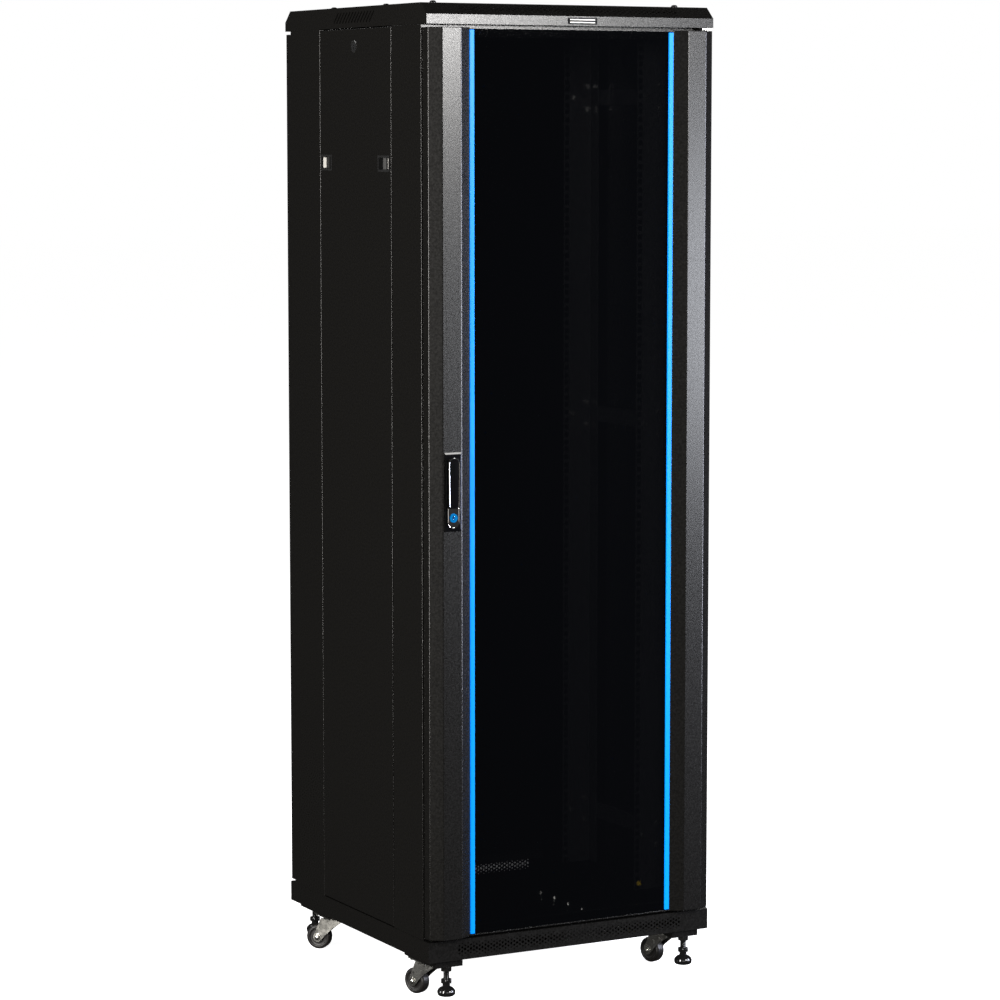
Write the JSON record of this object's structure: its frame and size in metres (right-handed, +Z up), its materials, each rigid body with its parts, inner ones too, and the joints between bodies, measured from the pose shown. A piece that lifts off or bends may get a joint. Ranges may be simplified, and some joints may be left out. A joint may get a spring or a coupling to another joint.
{
  "type": "network server rack cabinet",
  "caption": "Floor-standing server rack cabinet with a glazed swing door, solid rear door, removable side panels, slotted roof cover, casters and levelling feet.",
  "frame": {"origin": "centre of the overall box at floor level, under the middle of the cabinet", "axes": "+Z up; -Y is the front with the glazed door; +X is to the right seen from the front"},
  "size_m": [0.6012, 0.6258, 1.8381],
  "materials": {
    "black_coat": "fine-textured black powder coat",
    "rail_coat": "black powder coat",
    "plated_steel": "zinc-plated screws",
    "zinc": "zinc-plated pressed steel",
    "wheel_rubber": "dark solid tread",
    "black_gloss_steel": "glossy black",
    "chrome": "polished chrome",
    "tinted_glass": "dark tinted toughened glass",
    "blue_trim": "glossy azure strip",
    "blue_key": "cyan-blue anodised key cylinder",
    "black_plastic": "moulded black",
    "handle_black": "satin black die casting"
  },
  "bodies": {
    "cabinet": {"base_tray": "black_coat", "base_front_grille": "black_coat", "base_rear_grille": "black_coat", "corner_brackets": "black_coat", "caster_plates": "zinc", "post_front_left": "black_coat", "post_front_right": "black_coat", "post_rear_left": "black_coat", "post_rear_right": "black_coat", "beams_bottom": "black_coat", "beams_top": "black_coat", "depth_rails": "rail_coat", "rack_rail_front_left": "rail_coat", "rack_rail_front_right": "rail_coat", "rack_rail_rear_left": "rail_coat", "rack_rail_rear_right": "rail_coat", "rail_bolts": "plated_steel", "top_cover": "black_coat", "cover_front_grille": "black_coat", "cover_rear_grille": "black_coat", "cover_bolts": "black_coat", "cable_entry_plate": "black_coat", "hinge_pins": "zinc"},
    "front_door": {"door_profile_left": "black_coat", "door_profile_right": "black_coat", "door_rail_top": "black_coat", "door_rail_bottom": "black_coat", "door_glass": "tinted_glass", "door_trims": "blue_trim", "door_end_caps": "black_plastic", "handle_plate": "handle_black", "lock_escutcheon": "chrome"},
    "handle_spindle": {"handle_spindle": "zinc"},
    "handle_lever": {"handle_lever": "handle_black"},
    "key_cylinder": {"key_cylinder": "blue_key"},
    "rear_door": {"rear_door_panel": "black_coat", "rear_door_ribs": "black_coat"},
    "rear_lock": {"rear_lock": "chrome"},
    "side_panel_left": {"side_panel_left": "black_coat", "latch_tubs_left": "black_plastic"},
    "side_lock_left": {"side_lock_left": "chrome"},
    "latch_front_left": {"latch_front_left": "black_plastic"},
    "latch_rear_left": {"latch_rear_left": "black_plastic"},
    "side_panel_right": {"side_panel_right": "black_coat", "latch_tubs_right": "black_plastic"},
    "side_lock_right": {"side_lock_right": "chrome"},
    "latch_front_right": {"latch_front_right": "black_plastic"},
    "latch_rear_right": {"latch_rear_right": "black_plastic"},
    "caster_fork_front_left": {"caster_fork_front_left": "zinc"},
    "caster_wheel_front_left": {"caster_wheel_front_left": "wheel_rubber"},
    "foot_front_left": {"foot_front_left": "black_gloss_steel"},
    "caster_fork_front_right": {"caster_fork_front_right": "zinc"},
    "caster_wheel_front_right": {"caster_wheel_front_right": "wheel_rubber"},
    "foot_front_right": {"foot_front_right": "black_gloss_steel"},
    "caster_fork_rear_left": {"caster_fork_rear_left": "zinc"},
    "caster_wheel_rear_left": {"caster_wheel_rear_left": "wheel_rubber"},
    "foot_rear_left": {"foot_rear_left": "black_gloss_steel"},
    "caster_fork_rear_right": {"caster_fork_rear_right": "zinc"},
    "caster_wheel_rear_right": {"caster_wheel_rear_right": "wheel_rubber"},
    "foot_rear_right": {"foot_rear_right": "black_gloss_steel"}
  },
  "joints": [
    {"name": "front_door_hinge", "type": "hinge", "parent": "cabinet", "child": "front_door", "pos_m": [0.291, -0.2811, 0.95], "axis": [0, 0, 1], "range_deg": [0, 130]},
    {"name": "handle_turn", "type": "hinge", "parent": "front_door", "child": "handle_spindle", "pos_m": [-0.25675, -0.307, 1.006], "axis": [0, -1, 0], "range_deg": [0, 90]},
    {"name": "handle_flip", "type": "hinge", "parent": "handle_spindle", "child": "handle_lever", "pos_m": [-0.25675, -0.3102, 1.013], "axis": [-1, 0, 0], "range_deg": [0, 35]},
    {"name": "key_turn", "type": "hinge", "parent": "front_door", "child": "key_cylinder", "pos_m": [-0.25675, -0.307, 0.907], "axis": [0, -1, 0], "range_deg": [0, 90]},
    {"name": "rear_door_hinge", "type": "hinge", "parent": "cabinet", "child": "rear_door", "pos_m": [0.291, 0.3009, 0.95], "axis": [0, 0, -1], "range_deg": [0, 130]},
    {"name": "rear_lock_turn", "type": "hinge", "parent": "rear_door", "child": "rear_lock", "pos_m": [-0.232, 0.3099, 0.96], "axis": [0, 1, 0], "range_deg": [0, 90]},
    {"name": "side_panel_left_pull", "type": "slide", "parent": "cabinet", "child": "side_panel_left", "axis": [-1, 0, 0], "range_m": [0, 0.3]},
    {"name": "side_lock_left_turn", "type": "hinge", "parent": "side_panel_left", "child": "side_lock_left", "pos_m": [-0.3, 0.0069, 1.7585], "axis": [1, 0, 0], "range_deg": [0, 90]},
    {"name": "latch_front_left_slide", "type": "slide", "parent": "side_panel_left", "child": "latch_front_left", "axis": [0, 1, 0], "range_m": [0, 0.008], "stiffness_N_per_m": 250, "springref_m": -0.003},
    {"name": "latch_rear_left_slide", "type": "slide", "parent": "side_panel_left", "child": "latch_rear_left", "axis": [0, -1, 0], "range_m": [0, 0.008], "stiffness_N_per_m": 250, "springref_m": -0.003},
    {"name": "side_panel_right_pull", "type": "slide", "parent": "cabinet", "child": "side_panel_right", "axis": [1, 0, 0], "range_m": [0, 0.3]},
    {"name": "side_lock_right_turn", "type": "hinge", "parent": "side_panel_right", "child": "side_lock_right", "pos_m": [0.3, 0.0069, 1.7585], "axis": [1, 0, 0], "range_deg": [0, 90]},
    {"name": "latch_front_right_slide", "type": "slide", "parent": "side_panel_right", "child": "latch_front_right", "axis": [0, 1, 0], "range_m": [0, 0.008], "stiffness_N_per_m": 250, "springref_m": -0.003},
    {"name": "latch_rear_right_slide", "type": "slide", "parent": "side_panel_right", "child": "latch_rear_right", "axis": [0, -1, 0], "range_m": [0, 0.008], "stiffness_N_per_m": 250, "springref_m": -0.003},
    {"name": "swivel_front_left", "type": "hinge", "parent": "cabinet", "child": "caster_fork_front_left", "pos_m": [-0.2547, -0.2011, 0.064], "axis": [0, 0, 1], "continuous": true},
    {"name": "wheel_front_left", "type": "hinge", "parent": "caster_fork_front_left", "child": "caster_wheel_front_left", "pos_m": [-0.26509, -0.17403, 0.0245], "axis": [0.9336, 0.3584, 0], "continuous": true},
    {"name": "foot_front_left_height", "type": "slide", "parent": "cabinet", "child": "foot_front_left", "axis": [0, 0, -1], "range_m": [-0.008, 0.035]},
    {"name": "swivel_front_right", "type": "hinge", "parent": "cabinet", "child": "caster_fork_front_right", "pos_m": [0.2547, -0.2011, 0.064], "axis": [0, 0, 1], "continuous": true},
    {"name": "wheel_front_right", "type": "hinge", "parent": "caster_fork_front_right", "child": "caster_wheel_front_right", "pos_m": [0.24671, -0.17322, 0.0245], "axis": [0.9613, 0.2756, 0], "continuous": true},
    {"name": "foot_front_right_height", "type": "slide", "parent": "cabinet", "child": "foot_front_right", "axis": [0, 0, -1], "range_m": [-0.008, 0.035]},
    {"name": "swivel_rear_left", "type": "hinge", "parent": "cabinet", "child": "caster_fork_rear_left", "pos_m": [-0.2547, 0.2099, 0.064], "axis": [0, 0, 1], "continuous": true},
    {"name": "wheel_rear_left", "type": "hinge", "parent": "caster_fork_rear_left", "child": "caster_wheel_rear_left", "pos_m": [-0.27521, 0.23041, 0.0245], "axis": [0.7071, 0.7071, 0], "continuous": true},
    {"name": "foot_rear_left_height", "type": "slide", "parent": "cabinet", "child": "foot_rear_left", "axis": [0, 0, -1], "range_m": [-0.008, 0.035]},
    {"name": "swivel_rear_right", "type": "hinge", "parent": "cabinet", "child": "caster_fork_rear_right", "pos_m": [0.2547, 0.2099, 0.064], "axis": [0, 0, 1], "continuous": true},
    {"name": "wheel_rear_right", "type": "hinge", "parent": "caster_fork_rear_right", "child": "caster_wheel_rear_right", "pos_m": [0.26832, 0.2355, 0.0245], "axis": [0.8829, -0.4695, 0], "continuous": true},
    {"name": "foot_rear_right_height", "type": "slide", "parent": "cabinet", "child": "foot_rear_right", "axis": [0, 0, -1], "range_m": [-0.008, 0.035]}
  ]
}
